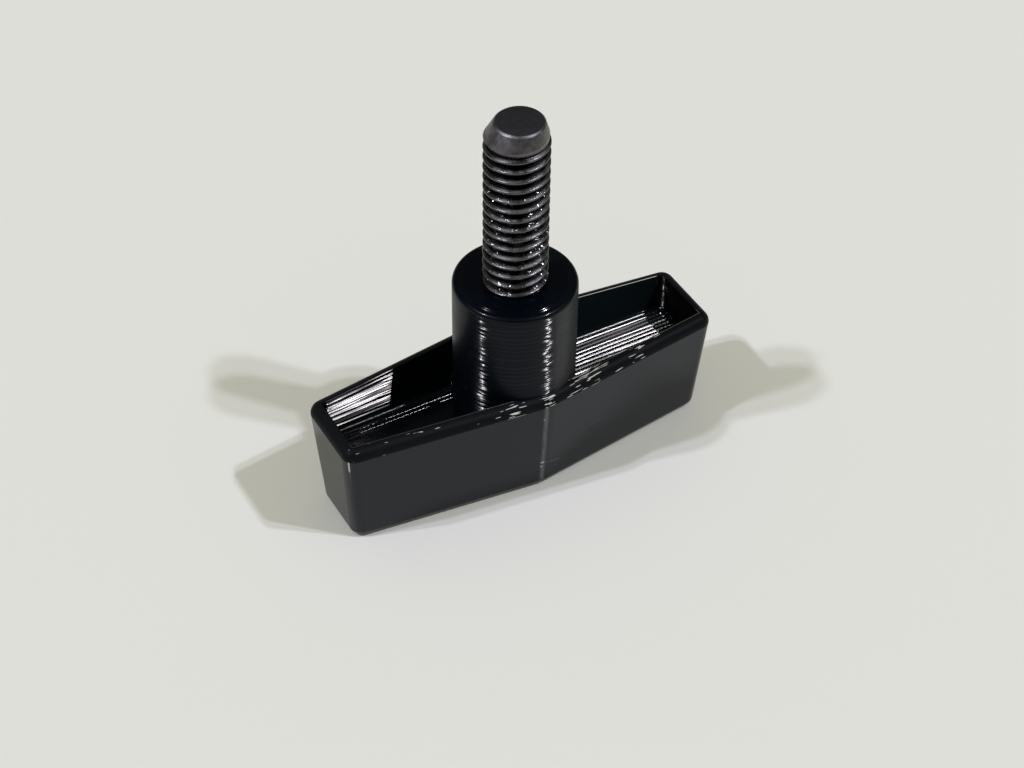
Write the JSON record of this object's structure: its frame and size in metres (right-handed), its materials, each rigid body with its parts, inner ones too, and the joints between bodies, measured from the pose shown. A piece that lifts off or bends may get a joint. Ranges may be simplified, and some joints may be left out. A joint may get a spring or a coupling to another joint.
{
  "type": "wing bolt",
  "caption": "T-handle wing bolt: hollow lozenge plastic handle with open pockets either side of a tall round hub, holding a fixed threaded steel stud for hand clamping.",
  "frame": {"origin": "centre of the closed grip face that the part stands on", "axes": "+Z along the stud towards its tip, +X along the wings"},
  "size_m": [0.0516, 0.017, 0.0517],
  "materials": {
    "handle_plastic": "black plastic, satin outside, with fine glossy ridges in the pockets and round the hub",
    "blackened_steel": "black oxide, oiled"
  },
  "bodies": {
    "root": {"handle": "handle_plastic", "threaded_stud": "blackened_steel"}
  },
  "joints": []
}
